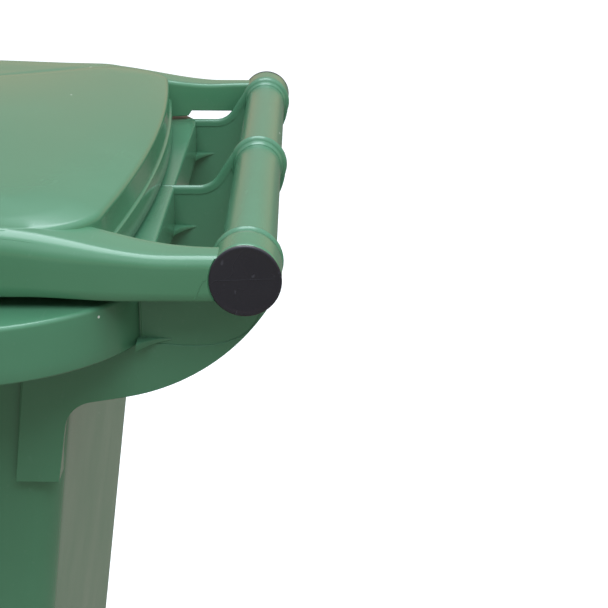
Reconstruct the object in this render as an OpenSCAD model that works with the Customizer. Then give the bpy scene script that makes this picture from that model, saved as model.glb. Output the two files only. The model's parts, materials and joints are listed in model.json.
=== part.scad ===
// Two-wheeled refuse bin of the 240 litre class: one moulded tub with its rim, handle and axle brackets,
// a hinged lid, and a pair of push-on wheels on a steel axle. Millimetres, +Z up, front towards -Y.

/* [Overall] */
// Width over the rim
overall_w = 580; // [540:5:640]
// Depth from the front of the rim to the back of the handle rings
overall_d = 740; // [700:5:800]
// Height of the handle's axis above the ground
handle_h = 1020; // [850:5:1100]

/* [Handle] */
// Outer diameter of the handle tube
handle_d = 30; // [26:1:36]
// Outer diameter of the rings that join the tube to its gussets
ring_d = 38; // [34:1:46]
// Width of a ring and of the bead along a gusset's edge
bead_w = 7; // [6:0.5:10]
// Thickness of a gusset plate
gusset_t = 5; // [4:0.5:7]

/* [Rim] */
// Height of the handle's axis above the top of the rim
rim_drop = 15; // [12:1:25]
// Distance from the handle's axis to the rear edge of the rim
rim_setback = 56; // [50:1:70]
// Depth of the skirt that hangs from the rim
rim_skirt = 30; // [24:1:40]
// Depth of the skirt at the front, where a lifting comb takes hold
comb_skirt = 52; // [40:1:70]
// Thickness of the rim
rim_t = 4; // [3:0.5:5]
// Corner radius of the rim at the rear
rim_rear_r = 106; // [80:2:110]
// How much of that corner's arc the straight rear edge cuts off
rim_arc_cut = 6; // [2:1:10]
// Corner radius of the rim at the front
rim_front_r = 78; // [60:2:90]
// Radius of the rim's upper edge
rim_edge_r = 3; // [2:0.5:8]

/* [Tub] */
// Wall thickness of the tub
wall = 4.5; // [3.5:0.5:6]
// Thickness of the tub's floor
floor_t = 6; // [4:0.5:8]
// How far the rim stands out from the tub at each side
side_reach = 43; // [38:1:50]
// How much narrower the tub is at the floor than at the rim
tub_taper = 58; // [40:2:70]
// Depth of each wheel recess in the tub's side, at the rim
recess_top = 29; // [26:1:34]
// Depth of each wheel recess in the tub's side, at the floor
recess_floor = 25; // [22:1:30]
// How far the rim stands out from the tub at the front
front_reach = 42; // [36:1:50]
// How far the rim stands out from the tub at the rear
rear_reach = 34; // [30:1:40]
// Lean of the rear wall, in degrees
rear_lean = 7; // [3:0.1:7.5]
// Lean of the front wall, in degrees
front_lean = 2.5; // [1:0.1:5]
// Height of the tub's underside above the ground
floor_h = 22; // [16:1:30]
// Radius of the tub's lower edge
floor_edge_r = 20; // [10:1:24]

/* [Lid] */
// Gap between the lid's skirt and the top of the rim
lid_gap = 7; // [5:0.5:9]
// Thickness of the lid's shell
lid_t = 3.5; // [3:0.25:4.5]
// Height of the side rails' top above the handle's axis
rail_h = 25; // [20:1:28]
// Height of an arm's top above the handle's axis, where it meets its eye
arm_h = 12.5; // [10:0.5:14]
// Width of an arm
arm_w = 18; // [15:1:20]
// Height of the dome's edge above the handle's axis
dome_h = 30; // [28:1:40]
// Rise of the dome from its edge to its middle
crown_h = 12; // [6:1:16]
// Height of the narrow ledge behind the dome
ledge_h = 7; // [5:1:12]
// Distance from the handle's axis to the lid's rear edge, in the middle
lid_setback = 62.5; // [60:0.5:70]
// How far the rear edge bows out between its ends
rear_bow = 11; // [4:1:14]
// How far the lid's front stays behind the front of the rim
front_setback = 12; // [10:1:20]
// Width of a grip on the lid's front edge
grip_w = 110; // [80:5:140]

/* [Hinge] */
// Length of a lid eye, along the hinge
eye_l = 28.5; // [24:0.5:32]
// Diameter of the lid's eyes
eye_d = 36.6; // [32:0.2:37]
// Diameter of a hinge pin's shank
pin_d = 21.8; // [18:0.2:22]
// Length of a hinge pin's shank
pin_l = 64; // [55:1:80]
// Diameter of a hinge pin's head
head_d = 37; // [32:0.5:37]
// Thickness of a hinge pin's head
head_t = 3; // [2.5:0.5:4]

/* [Wheels] */
// Outer diameter of a tyre
wheel_d = 200; // [190:5:250]
// Width of a tyre
tyre_w = 46; // [38:1:50]
// Thickness of the tyre's rubber, from the plastic wheel to the tread
tyre_t = 21; // [14:1:28]
// Number of spokes
spokes = 8; // [5:1:10]
// Space between the tub's lower side and a wheel's hub
wheel_gap = 14; // [10:1:20]
// Space between a tyre and the tub in front of it
tyre_gap = 12; // [8:1:20]

/* [Axle] */
// Diameter of the axle
axle_d = 20; // [18:0.5:24]
// Distance from the rear wall, at the axle's height, back to the axle
axle_reach = 46; // [42:1:56]

/* [Hidden] */
run_gap = 0.08;          // radial clearance of a running fit
seat_gap = 0.3;          // gap between faces that only touch lightly
cut = 1;                 // how far a cutter runs past the face it opens
arc_n = 6;               // segments in a rounded corner of an outline
handle_y = overall_d / 2 - ring_d / 2;
rim_h = handle_h - rim_drop;
rim_rear = handle_y - rim_setback;
rim_front = -overall_d / 2;
tub_rear = rim_rear - rear_reach;
tub_front = rim_front + front_reach;
tub_rise = rim_h - floor_h;
tub_w_top = overall_w - 2 * side_reach;
tub_w_floor = tub_w_top - tub_taper;
heel_w_top = tub_w_top - 2 * recess_top;
heel_w_floor = tub_w_floor - 2 * recess_floor;
step_r = 12;             // corner radii of the tub: at the steps,
heel_r = 18;             // at the rear,
front_r = 60;            // and at the front
step_run = 34;           // how far the step leans back from floor to rim
axle_h = wheel_d / 2;
axle_y = rear_wall_y(axle_h) + axle_reach;
axle_r = axle_d / 2;
step_floor = axle_y - wheel_d / 2 - tyre_gap;
gusset_x = heel_w_top / 2 + gusset_t / 2 - 0.5;
gusset_bow = [-74, 26, 102];   // lower edge of a gusset: centre and radius, from the handle's axis
gusset_low = gusset_bow[1] - gusset_bow[2];
gusset_back = -rim_setback - rear_reach;
leg_low = -126;          // lower end of a gusset's leg
leg_w = 24;
pad_top = -62;           // upper end of the thick part of a leg
pad_in = 14;             // how far that part reaches in over the tub's side
handle_r = handle_d / 2;
ring_r = ring_d / 2;
pin_r = pin_d / 2;
pin_wall = 3.5;
snap = 0.6;              // how far the bead at a pin's tip stands out
head_edge = 1.2;         // bevel round a pin's head
pin_seat = 27;           // depth of the handle's end bore that grips the pin
handle_bore_r = pin_r + snap + 0.5;
rib_t = 3;
rib_y = [for (i = [1:3]) rim_front + rim_front_r + (rim_rear - rim_rear_r - rim_front - rim_front_r) * i / 4];
front_rib_x = overall_w / 2 - rim_front_r - 7;
foot_w = 90;
foot_l = 26;
foot_x = tub_w_floor / 2 - 88;
foot_y = [tub_front + 70, tub_front + 150];
bracket_t = 8;
bracket_x = [-heel_w_floor / 2 + bracket_t / 2, -66, 66, heel_w_floor / 2 - bracket_t / 2];
bracket_top = 90;        // height of a bracket's upper end above the axle
boss_r = axle_r + 9;
eye_in = gusset_x + bead_w / 2 + 0.5;
eye_out = eye_in + eye_l;
lid_x = eye_out + head_t;
arm_x = lid_x - arm_w;
skirt_z = -rim_drop + lid_gap;
lid_front = rim_front + front_setback - handle_y;
lid_front_r = 66;
grip_reach = front_setback - 2;
grip_h = 12;
grip_x = lid_x - lid_front_r - grip_w / 2 + 5.5;
buffer_r = 6;
buffer_h = lid_gap + 1 - 2 * seat_gap;
buffer_x = lid_x - lid_t - buffer_r - 1.5;
buffer_y = [lid_front + 110, -230];
socket_t = 2.4;
dome_side = lid_x - 8;
dome_rear = -lid_setback - lid_t;
dome_front = lid_front + 19;
dome_front_r = 60;
dome_corner_r = 26;
dome_edge_r = 8;
dome_mid = [0, (dome_front + dome_rear) / 2];
hub_r = axle_r + 9;
hub_half = tyre_w / 2 + 3;
hub_in = heel_w_floor / 2 + wheel_gap;
hub_out = hub_in + 2 * hub_half;
wheel_x = hub_in + hub_half;
wheel_rim_d = wheel_d - 2 * tyre_t;
rim_ring_t = 6;          // thickness of a plastic wheel's outer ring
spoke_t = 5;
spacer_in = heel_w_floor / 2 + seat_gap;
spacer_out = hub_in - seat_gap;
axle_end = hub_out + 2;
groove_x = hub_in + 8;   // mid-plane of the groove that the latch drops into
groove_w = 8;
groove_depth = 2.5;
latch_r = 3;
latch_head_r = 4.4;
latch_tip = axle_r - groove_depth + 0.3;
latch_seat = axle_r + 6;
latch_head = 4;
spring_l = 11;
tower_r = latch_head_r + 3;
tower_top = latch_seat + latch_head + spring_l + 4;
chip_r = 15;
chip_wall = 3;
chip_h = 10;             // depth of the chip's seat below the rim's underside
chip_y = rim_front + rim_t + chip_r + 4;

// ---- outlines and skins ----

// Outer face of the rear wall at a height
function rear_wall_y(z) = tub_rear - (rim_h - z) * tan(rear_lean);

function unit(v) = v / norm(v);

// One corner of an outline, rounded to a radius, as points from its start to its end
function corner(a, p, b, r, n) =
    let (u = unit(a - p), v = unit(b - p))
    r <= 0 || abs(u * v) > 0.9999 ? [p] :
    let (half = acos(u * v) / 2,
         c = p + unit(u + v) * r / sin(half),
         s = p + u * r / tan(half) - c,
         e = p + v * r / tan(half) - c,
         turn = 180 - 2 * half,
         side = s[0] * e[1] - s[1] * e[0] > 0 ? 1 : -1)
    [for (i = [0:n]) let (t = side * turn * i / n)
        c + [s[0] * cos(t) - s[1] * sin(t), s[0] * sin(t) + s[1] * cos(t)]];

// An outline with each corner rounded to its own radius
function rounded(pts, radii, n = arc_n) =
    let (m = len(pts))
    [for (i = [0:m - 1]) each corner(pts[(i + m - 1) % m], pts[i], pts[(i + 1) % m], radii[i], n)];

function at_height(outline, z) = [for (p = outline) [p[0], p[1], z]];

function middle(ring) = [for (i = [0:2]) [for (p = ring) p[i]] * [for (p = ring) 1] / len(ring)];

// A closed solid through rings of equally many points, lowest first, each end fanned from its middle
module skin(rings) {
    n = len(rings[0]);
    last = len(rings) - 1;
    low = len(rings) * n;
    polyhedron(
        points = concat([for (r = rings) each r], [middle(rings[0]), middle(rings[last])]),
        faces = concat(
            [for (j = [0:n - 1]) [low, j, (j + 1) % n]],
            [for (k = [0:last - 1], j = [0:n - 1], half = [0, 1])
                let (a = k * n + j, b = k * n + (j + 1) % n)
                half == 0 ? [a, a + n, b] : [b, a + n, b + n]],
            [for (j = [0:n - 1]) [low + 1, last * n + (j + 1) % n, last * n + j]]),
        convexity = 10);
}

// ---- tub, rim, handle and brackets: one moulding ----

// Plan of the rim, drawn in by an inset: the rear corners' arcs are cut off by the straight rear edge
function rim_outline(inset) =
    let (x = overall_w / 2 - inset, f = rim_front + inset, r = rim_rear_r - inset,
         rise = rim_rear_r - rim_arc_cut - inset, start = asin(rise / r), b = rim_rear - inset)
    concat(
        corner([-x, b], [-x, f], [x, f], rim_front_r - inset, 10),
        corner([-x, f], [x, f], [x, b], rim_front_r - inset, 10),
        [for (i = [0:10]) let (a = start * i / 10) [x - r + r * cos(a), b - rise + r * sin(a)]],
        [for (i = [10:-1:0]) let (a = start * i / 10) [r - x - r * cos(a), b - rise + r * sin(a)]]);

// Plan of the tub at a height, drawn in by an inset: full width in front, narrower between the wheels
function tub_outline(z, inset) =
    let (t = (z - floor_h) / tub_rise,
         x = (tub_w_floor + (tub_w_top - tub_w_floor) * t) / 2 - inset,
         h = (heel_w_floor + (heel_w_top - heel_w_floor) * t) / 2 - inset,
         f = tub_front + (rim_h - z) * tan(front_lean) + inset,
         s = step_floor + step_run * t - inset,
         b = rear_wall_y(z) - inset)
    rounded([[-x, f], [x, f], [x, s], [h, s], [h, b], [-h, b], [-h, s], [-x, s]],
            [front_r - inset, front_r - inset, step_r, step_r, heel_r, heel_r, step_r, step_r]);

module tub_outer() {
    r = floor_edge_r;
    skin(concat([for (a = [90:-30:0]) let (z = floor_h + r * (1 - sin(a)))
                     at_height(tub_outline(z, r * (1 - cos(a))), z)],
                [at_height(tub_outline(rim_h - rim_t / 2, 0), rim_h - rim_t / 2)]));
}

module tub_inner() {
    r = floor_edge_r;
    low = floor_h + floor_t;
    skin(concat([for (a = [90:-30:0]) let (z = low + r * (1 - sin(a)))
                     at_height(tub_outline(z, wall + r * (1 - cos(a))), z)],
                [at_height(tub_outline(rim_h + cut, wall), rim_h + cut)]));
}

// The rim: a flat top with a rounded edge and a skirt, deeper across the front
module rim_solid() {
    skin(concat([at_height(rim_outline(0), rim_h - rim_skirt)],
                [for (a = [0:30:90]) let (z = rim_h - rim_edge_r * (1 - sin(a)))
                     at_height(rim_outline(rim_edge_r * (1 - cos(a))), z)]));
}

module rim_channel() {
    translate([0, 0, rim_h - comb_skirt - cut])
        linear_extrude(comb_skirt + cut - rim_t) polygon(rim_outline(rim_t));
}

// Deeper front skirt that a lifting comb grips, with its ends sloped up to the side skirts
module comb_lip() {
    x = overall_w / 2 - rim_front_r;
    drop = comb_skirt - rim_skirt;
    translate([0, rim_front + rim_t, rim_h - rim_skirt]) rotate([90, 0, 0])
        linear_extrude(rim_t) polygon([[-x, cut], [-x + drop, -drop], [x - drop, -drop], [x, cut]]);
}

// Ribs inside the rim, from the tub to the skirt
module rim_ribs() {
    root = wall + 3;     // how far a rib's root reaches into the tub's wall
    for (side = [-1, 1], y = rib_y)
        translate([side > 0 ? tub_w_top / 2 - root : -overall_w / 2 + rim_t / 2, y, rim_h - rim_skirt + 2])
            cube([side_reach + root - rim_t / 2, rib_t, rim_skirt - 3]);
    for (side = [-1, 1])
        translate([side * front_rib_x - rib_t / 2, rim_front + rim_t / 2, rim_h - comb_skirt + 2])
            cube([rib_t, front_reach + root, comb_skirt - 3]);
}

// Top edge of a gusset, from the handle's axis: level on the rim, then up to the ring
function gusset_top(drop) =
    let (z = -rim_drop - drop)
    rounded([[-rim_setback - 4, z], [-36 + drop / 3, z], [-15 + drop, 11.7 - drop / 2]], [0, 20, 0]);

// Side view of a gusset: top edge, ring, lower bow, and on an outer gusset the leg on the tub's flank
function gusset_outline(leg) =
    let (mid = [gusset_bow[0], gusset_bow[1]], r = gusset_bow[2],
         end = [mid[0] + 14, gusset_low], bend = [gusset_back - 8.5, gusset_low - 1],
         foot = [gusset_back - 14, leg_low])
    concat(
        [[gusset_back - 28, -rim_drop - 1.5]],
        gusset_top(1.5),
        [[0, 0], [16, -14]],
        [for (a = [-28:-9:-82]) mid + r * [cos(a), sin(a)]],
        leg ? concat(corner(end, bend, foot, 20, 5), [foot, foot - [leg_w, 0], [gusset_back - 30, -50]])
            : [bend, [gusset_back - 28, gusset_low - 1]]);

// The thick lower part of a leg, over the corner of the tub
function pad_outline() =
    let (rear = gusset_back - 13.9, low = leg_low + 0.1)
    [[gusset_back - 9, pad_top], [rear, low], [rear - leg_w, low], [gusset_back - 31, pad_top]];

// A shape drawn in side view from the handle's axis, carried across from one x to another
module across(low, high) {
    translate([low, handle_y, handle_h]) rotate([90, 0, 90]) linear_extrude(high - low) children();
}

module gusset(x, leg) {
    face = gusset_t / 2;
    under = gusset_top(4);
    across(x - face, x + face) polygon(gusset_outline(leg));
    if (leg) across(x > 0 ? x - pad_in : x - face + 0.1, x > 0 ? x + face - 0.1 : x + pad_in)
        polygon(pad_outline());
    across(x - bead_w / 2, x + bead_w / 2)
        polygon(concat(gusset_top(0), [for (i = [len(under) - 1:-1:0]) under[i]]));
    translate([x - bead_w / 2, handle_y, handle_h]) rotate([0, 90, 0])
        cylinder(r = ring_r, h = bead_w, $fn = 64);
}

// Upright bracket on the rear wall that carries the axle
module axle_bracket(x) {
    front = rear_wall_y(axle_h) - wall - 14;
    top = axle_h + bracket_top;
    translate([x - bracket_t / 2, 0, 0]) rotate([90, 0, 90]) linear_extrude(bracket_t)
        polygon([[front, floor_h + floor_edge_r], [axle_y - 4, axle_h - boss_r + 2],
                 [axle_y, axle_h - boss_r], [axle_y + boss_r * cos(30), axle_h + boss_r * sin(30)],
                 [axle_y + 2, axle_h + boss_r + 26], [rear_wall_y(top) - 6, top]]);
    translate([x - bracket_t / 2, axle_y, axle_h]) rotate([0, 90, 0])
        cylinder(r = boss_r, h = bracket_t, $fn = 64);
}

// Feet under the front of the floor
module feet() {
    for (side = [-1, 1], y = foot_y)
        translate([side * foot_x - foot_w / 2, y, 0]) cube([foot_w, foot_l, floor_h + floor_t / 2]);
}

module chip_seat() {
    translate([0, chip_y, rim_h - rim_t - chip_h]) cylinder(r = chip_r + chip_wall, h = chip_h + 1, $fn = 48);
}

module bin_body() color([0.33, 0.55, 0.42]) difference() {
    union() {
        difference() {
            rim_solid();
            rim_channel();
        }
        comb_lip();
        tub_outer();
        rim_ribs();
        gusset(-gusset_x, true);
        gusset(0, false);
        gusset(gusset_x, true);
        translate([-gusset_x, handle_y, handle_h]) rotate([0, 90, 0])
            cylinder(r = handle_r, h = 2 * gusset_x, $fn = 64);
        for (x = bracket_x) axle_bracket(x);
        feet();
        chip_seat();
    }
    tub_inner();
    translate([-gusset_x - bead_w, handle_y, handle_h]) rotate([0, 90, 0])
        cylinder(r = pin_r + run_gap, h = 2 * (gusset_x + bead_w), $fn = 64);
    translate([-gusset_x + pin_seat, handle_y, handle_h]) rotate([0, 90, 0])
        cylinder(r = handle_bore_r, h = 2 * (gusset_x - pin_seat), $fn = 64);
    translate([-wheel_x, axle_y, axle_h]) rotate([0, 90, 0])
        cylinder(r = axle_r + run_gap, h = 2 * wheel_x, $fn = 64);
    translate([0, chip_y, rim_h - rim_t - chip_h - cut]) cylinder(r = chip_r, h = chip_h - 1 + cut, $fn = 48);
}

// ---- lid ----

// Plan of the lid's dome, from the handle's axis: straight sides, bowed rear edge
function dome_outline(inset) =
    let (x = dome_side - inset, f = dome_front + inset, b = dome_rear - inset,
         end = x - dome_corner_r)
    concat(
        rounded([[-x, b - rear_bow], [-x, f], [x, f], [x, b - rear_bow]],
                [for (r = [dome_corner_r, dome_front_r, dome_front_r, dome_corner_r]) r - inset], 5),
        [for (i = [2:-1:-2]) let (t = i / 3) [end * t, b - rear_bow * t * t]]);

// The dome as a solid, thinner all round by a shell
module dome(shell) {
    foot = skirt_z - (shell > 0 ? cut : 0);
    base = dome_outline(shell);
    edge = dome_outline(shell + dome_edge_r);
    top = dome_h - shell;
    skin(concat([at_height(base, foot)],
                [for (a = [0:30:60]) at_height(dome_outline(shell + dome_edge_r * (1 - cos(a))),
                                               top - dome_edge_r * (1 - sin(a)))],
                [for (s = [1, 0.8, 0.55, 0.25])
                    at_height([for (p = edge) dome_mid + (p - dome_mid) * s],
                              top + crown_h * (1 - s * s) / (1 - 0.0625))]));
}

// Plan of the lid's base between the side rails
function base_outline(inset) =
    let (x = lid_x - inset, f = lid_front + inset, b = -lid_setback - inset)
    concat(rounded([[-x, b - rear_bow], [-x, f], [x, f], [x, b - rear_bow]],
                   [0, lid_front_r - inset, lid_front_r - inset, 0]),
           [for (i = [3:-1:-3]) let (t = i / 3.3) [x * t, b - rear_bow * t * t]]);

// Side view of a rail and its arm: level, then sloping down to the eye
function rail_top(inset) = [for (t = [0:0.125:1])
    [-112 + 76 * t, rail_h - (rail_h - arm_h) * t * t * (3 - 2 * t) - inset]];

function rail_side(inset, end) = concat(
    [for (y = [lid_front + lid_front_r, end]) [y, skirt_z - (inset > 0 ? cut : 0)]],
    [[end, arm_h - inset]],
    [for (i = [8:-1:0]) rail_top(inset)[i]],
    [[lid_front + lid_front_r, rail_h - inset]]);

module rail(side) {
    translate([side > 0 ? arm_x : -lid_x, 0, 0]) rotate([90, 0, 90]) linear_extrude(arm_w)
        polygon(rail_side(0, 0));
    translate([side > 0 ? eye_in : -eye_out, 0, 0]) rotate([0, 90, 0])
        cylinder(r = eye_d / 2, h = eye_out - eye_in, $fn = 64);
}

module rail_hollow(side) {
    translate([side > 0 ? arm_x + lid_t : -lid_x + lid_t, 0, 0]) rotate([90, 0, 90])
        linear_extrude(arm_w - 2 * lid_t) polygon(rail_side(lid_t, -42));
}

// Front part of the rails' top, round the lid's front corners
module front_band() {
    difference() {
        translate([0, 0, ledge_h - cut]) linear_extrude(rail_h - ledge_h + cut) polygon(base_outline(0));
        translate([-2 * lid_x, lid_front + lid_front_r, 0]) cube([4 * lid_x, overall_d, 2 * rail_h]);
    }
}

module lid_grip(side) {
    translate([side * grip_x - grip_w / 2, lid_front - grip_reach, skirt_z])
        cube([grip_w, grip_reach + 2, grip_h]);
}

// Socket inside the skirt that holds a rubber buffer
module buffer_socket(side, y) {
    translate([side * buffer_x, y, skirt_z + 1])
        cylinder(r = buffer_r + socket_t, h = rail_h - skirt_z - 2 * lid_t, $fn = 40);
}

module buffer_bore(side, y) {
    translate([side * buffer_x, y, skirt_z]) cylinder(r = buffer_r - 1.5, h = 9, $fn = 40);
}

module lid() color([0.36, 0.6, 0.46]) translate([0, handle_y, handle_h]) difference() {
    union() {
        difference() {
            union() {
                dome(0);
                translate([0, 0, skirt_z]) linear_extrude(ledge_h - skirt_z) polygon(base_outline(0));
                front_band();
                rail(-1);
                rail(1);
            }
            dome(lid_t);
            translate([0, 0, skirt_z - cut]) linear_extrude(ledge_h - skirt_z + cut - lid_t)
                polygon(base_outline(lid_t));
            translate([0, 0, skirt_z - cut]) linear_extrude(rail_h - skirt_z + cut - lid_t) intersection() {
                polygon(base_outline(lid_t));
                translate([-2 * lid_x, lid_front]) square([4 * lid_x, lid_front_r + 4]);
            }
            rail_hollow(-1);
            rail_hollow(1);
        }
        for (side = [-1, 1]) lid_grip(side);
        for (side = [-1, 1], y = buffer_y) buffer_socket(side, y);
    }
    for (side = [-1, 1], y = buffer_y) buffer_bore(side, y);
    translate([-2 * lid_x, 0, 0]) rotate([0, 90, 0]) cylinder(r = pin_r + run_gap, h = 4 * lid_x, $fn = 64);
    for (side = [-1, 1]) translate([side * eye_out, 0, 0]) rotate([0, side * 90, 0])
        cylinder(r = head_d / 2 + 1, h = head_t + cut, $fn = 64);
}

// Four rubber buffers on which the shut lid rests
module lid_buffers() color([0.1, 0.1, 0.1]) translate([0, handle_y, handle_h])
    for (side = [-1, 1], y = buffer_y) translate([side * buffer_x, y, -rim_drop + seat_gap])
        rotate_extrude($fn = 40) let (stem = buffer_r - 1.5 - run_gap, top = buffer_h + 7)
            polygon([[0, 0], [buffer_r - 1.5, 0], [buffer_r, 1.5], [buffer_r, buffer_h], [stem, buffer_h],
                     [stem, top], [0, top]]);

// ---- hinge pins ----

module hinge_pin(side) color([0.13, 0.13, 0.15])
    translate([side * (eye_out + seat_gap), handle_y, handle_h]) rotate([0, side * 90, 0])
        rotate_extrude($fn = 64)
            polygon([[pin_r - pin_wall, -pin_l], [pin_r + snap / 2, -pin_l], [pin_r + snap, -pin_l + 3],
                     [pin_r, -pin_l + 3.2], [pin_r, 0], [head_d / 2, 0], [head_d / 2, head_t - head_edge],
                     [head_d / 2 - head_edge, head_t], [0, head_t], [0, 0.2], [pin_r - pin_wall, 0.2]]);

// ---- axle and wheels ----

module axle() color([0.62, 0.63, 0.65]) translate([0, axle_y, axle_h]) rotate([0, 90, 0]) difference() {
    translate([0, 0, -axle_end]) cylinder(r = axle_r, h = 2 * axle_end, $fn = 64);
    for (side = [-1, 1]) translate([0, 0, side * groove_x - groove_w / 2]) difference() {
        cylinder(r = axle_r + cut, h = groove_w, $fn = 64);
        translate([0, 0, -cut]) cylinder(r = axle_r - groove_depth, h = groove_w + 2 * cut, $fn = 64);
    }
}

module axle_spacer(side) color([0.15, 0.15, 0.16]) {
    length = spacer_out - spacer_in;
    translate([side * spacer_in, axle_y, axle_h]) rotate([0, side * 90, 0]) difference() {
        cylinder(r = axle_r + 4, h = length, $fn = 64);
        translate([0, 0, -cut]) cylinder(r = axle_r + run_gap, h = length + 2 * cut, $fn = 64);
    }
}

// Plastic wheel: hub, spokes, web and rim, with the tower that houses the latch
module wheel_rim(side) color([0.14, 0.14, 0.15]) difference() {
    union() {
        translate([side * hub_in, axle_y, axle_h]) rotate([0, side * 90, 0]) {
            cylinder(r = hub_r, h = 2 * hub_half, $fn = 64);
            difference() {
                translate([0, 0, 5]) cylinder(r = wheel_rim_d / 2, h = 2 * hub_half - 10, $fn = 96);
                translate([0, 0, 4]) cylinder(r = wheel_rim_d / 2 - rim_ring_t, h = 2 * hub_half, $fn = 96);
            }
            translate([0, 0, hub_half - 3]) cylinder(r = wheel_rim_d / 2 - 3, h = 4, $fn = 96);
            for (i = [0:spokes - 1]) rotate([0, 0, (i + 0.5) * 360 / spokes])
                translate([hub_r - 2, -spoke_t / 2, 9])
                    cube([wheel_rim_d / 2 - hub_r - 2, spoke_t, 2 * hub_half - 18]);
        }
        translate([side * groove_x, axle_y, axle_h]) cylinder(r = tower_r, h = tower_top, $fn = 48);
    }
    translate([side * (hub_in - cut), axle_y, axle_h]) rotate([0, side * 90, 0])
        cylinder(r = axle_r + run_gap, h = 2 * hub_half + 2 * cut, $fn = 64);
    translate([side * groove_x, axle_y, axle_h]) {
        cylinder(r = latch_r + run_gap, h = latch_seat + cut, $fn = 48);
        translate([0, 0, latch_seat]) cylinder(r = latch_head_r + run_gap, h = tower_top, $fn = 48);
    }
}

// Solid rubber tyre with rounded shoulders and two tread grooves
module tyre(side) color([0.09, 0.09, 0.095])
    translate([side * wheel_x, axle_y, axle_h]) rotate([0, side * 90, 0]) rotate_extrude($fn = 96)
        let (r = wheel_d / 2, b = wheel_rim_d / 2, w = tyre_w / 2)
        polygon(concat(
            [[b, -w + 6], [b + 4, -w + 3]],
            corner([b, -w], [r, -w], [r, 0], 8, 6),
            [[r, -9], [r - 3, -8], [r - 3, -5], [r, -4], [r, 4], [r - 3, 5], [r - 3, 8], [r, 9]],
            corner([r, 0], [r, w], [b, w], 8, 6),
            [[b + 4, w - 3], [b, w - 6]]));

module hub_cap(side) color([0.16, 0.16, 0.17])
    translate([side * (hub_out + seat_gap), axle_y, axle_h]) rotate([0, side * 90, 0])
        rotate_extrude($fn = 64)
            polygon([[axle_r + 2, 0], [hub_r + 1, 0], [hub_r + 1, 2], [hub_r - 4, 6], [0, 7], [0, 4.5],
                     [axle_r + 2, 4]]);

// ---- latch that drops into the axle's groove, and its spring ----

module latch_pin(side) color([0.75, 0.72, 0.6]) translate([side * groove_x, axle_y, axle_h]) {
    translate([0, 0, latch_tip]) cylinder(r = latch_r, h = latch_seat - latch_tip + 0.2, $fn = 48);
    translate([0, 0, latch_seat + 0.1]) cylinder(r = latch_head_r, h = latch_head - 0.2, $fn = 48);
}

// Plug that closes the latch's tower and backs its spring
module latch_plug(side) color([0.2, 0.2, 0.21]) translate([side * groove_x, axle_y, axle_h]) {
    translate([0, 0, latch_seat + latch_head + spring_l]) cylinder(r = latch_head_r, h = 4.5, $fn = 48);
    translate([0, 0, tower_top]) cylinder(r = tower_r - 1, h = 1.6, $fn = 48);
}

// Helical spring, swept as a tube of eight sides along a computed helix
module latch_spring(side) color([0.7, 0.7, 0.72]) {
    wire = 0.45;
    turns = 5;
    steps = 12;
    r = latch_head_r - 1;
    z0 = latch_seat + latch_head + wire;
    rise = spring_l - 2 * wire - 0.1;
    rings = [for (i = [0:turns * steps]) let (a = i * 360 / steps, z = z0 + rise * i / (turns * steps))
        [for (j = [0:5]) let (q = r + wire * cos(60 * j))
            [q * cos(a), q * sin(a), z + wire * sin(60 * j)]]];
    translate([side * groove_x, axle_y, axle_h]) mirror([side < 0 ? 1 : 0, 0, 0]) skin(rings);
}

// Plug that closes the seat for an identity chip, under the front of the rim
module chip_plug() color([0.1, 0.1, 0.1])
    translate([0, chip_y, rim_h - rim_t - chip_h - 1.5]) {
        cylinder(r = chip_r + 2, h = 1.4, $fn = 48);
        cylinder(r = chip_r - run_gap, h = chip_h - 2, $fn = 48);
    }

bin_body();
lid();
hinge_pin(-1);  // hinge_pin_left
hinge_pin(1);  // hinge_pin_right
axle();
axle_spacer(-1);  // axle_spacer_left
axle_spacer(1);  // axle_spacer_right
wheel_rim(-1);  // wheel_rim_left
wheel_rim(1);  // wheel_rim_right
tyre(-1);  // tyre_left
tyre(1);  // tyre_right
hub_cap(-1);  // hub_cap_left
hub_cap(1);  // hub_cap_right
latch_pin(-1);  // latch_pin_left
latch_pin(1);  // latch_pin_right
latch_spring(-1);  // latch_spring_left
latch_spring(1);  // latch_spring_right
latch_plug(-1);  // latch_plug_left
latch_plug(1);  // latch_plug_right
lid_buffers();
chip_plug();
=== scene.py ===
import bpy
import bmesh
import json
import math
import numpy as np
from mathutils import Matrix, Vector


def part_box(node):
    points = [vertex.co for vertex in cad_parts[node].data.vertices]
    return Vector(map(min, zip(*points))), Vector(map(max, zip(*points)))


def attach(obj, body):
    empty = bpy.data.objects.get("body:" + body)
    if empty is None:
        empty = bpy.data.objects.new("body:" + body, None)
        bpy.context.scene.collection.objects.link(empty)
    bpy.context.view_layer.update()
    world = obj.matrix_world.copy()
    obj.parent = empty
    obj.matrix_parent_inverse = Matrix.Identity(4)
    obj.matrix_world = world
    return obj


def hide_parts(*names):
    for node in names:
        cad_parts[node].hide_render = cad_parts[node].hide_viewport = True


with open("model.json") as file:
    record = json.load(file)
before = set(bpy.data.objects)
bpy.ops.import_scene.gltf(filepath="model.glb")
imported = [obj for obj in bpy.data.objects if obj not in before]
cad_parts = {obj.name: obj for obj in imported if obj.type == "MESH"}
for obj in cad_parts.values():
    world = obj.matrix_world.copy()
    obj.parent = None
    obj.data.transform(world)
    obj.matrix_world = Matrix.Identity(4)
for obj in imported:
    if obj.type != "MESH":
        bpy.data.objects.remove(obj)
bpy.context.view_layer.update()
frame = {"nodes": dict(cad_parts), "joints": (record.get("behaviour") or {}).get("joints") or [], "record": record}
scene = bpy.context.scene
print("frame loaded")


def jointAt(name):  # where a joint stands, in metres
    return next(joint for joint in frame["joints"] if joint["name"] == name)["pos_m"]


hinge = jointAt("lid_hinge")
wheelAt = jointAt("wheel_left_spin")
bodyLow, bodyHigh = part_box("bin_body")
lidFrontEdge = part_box("lid")[0].y


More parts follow.
